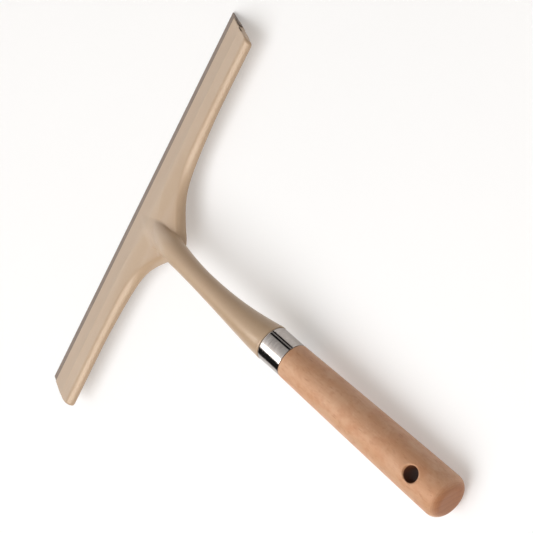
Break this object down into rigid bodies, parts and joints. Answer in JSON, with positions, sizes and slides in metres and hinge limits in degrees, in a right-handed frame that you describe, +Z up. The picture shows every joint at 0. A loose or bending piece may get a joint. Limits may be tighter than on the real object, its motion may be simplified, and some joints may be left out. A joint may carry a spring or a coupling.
{
  "type": "squeegee",
  "caption": "Hand squeegee: wide moulded head with a slide-in rubber blade, slim curved neck, chrome ferrule and a round wooden handle with a hanging hole.",
  "frame": {"origin": "middle of the tool's footprint on the table it lies on", "axes": "+X along the blade, +Y from the handle's butt towards the blade, +Z up, off the table; the tool lies with its blade edge and the underside of the butt on z = 0"},
  "size_m": [0.25, 0.2958, 0.0335],
  "materials": {
    "head_plastic": "satin moulded plastic, warm beige",
    "blade_rubber": "matte dark brown-grey rubber",
    "ferrule_chrome": "polished, lightly drawn along its length",
    "stud_steel": "zinc-plated thread",
    "handle_beech": "oiled beech with short dark flecks"
  },
  "bodies": {
    "holder": {"head_with_neck": "head_plastic", "ferrule": "ferrule_chrome", "joining_stud": "stud_steel", "wooden_handle": "handle_beech"},
    "blade": {"rubber_blade_root": "blade_rubber"},
    "lip": {"rubber_blade_lip": "blade_rubber"}
  },
  "joints": [
    {"name": "blade_slide", "type": "slide", "parent": "holder", "child": "blade", "axis": [1, 0, 0], "range_m": [0, 0.255]},
    {"name": "lip_flex", "type": "hinge", "parent": "blade", "child": "lip", "pos_m": [0, 0.14243, 0.00286], "axis": [1, 0, 0], "range_deg": [-40, 40], "stiffness_Nm_per_rad": 0.3}
  ]
}
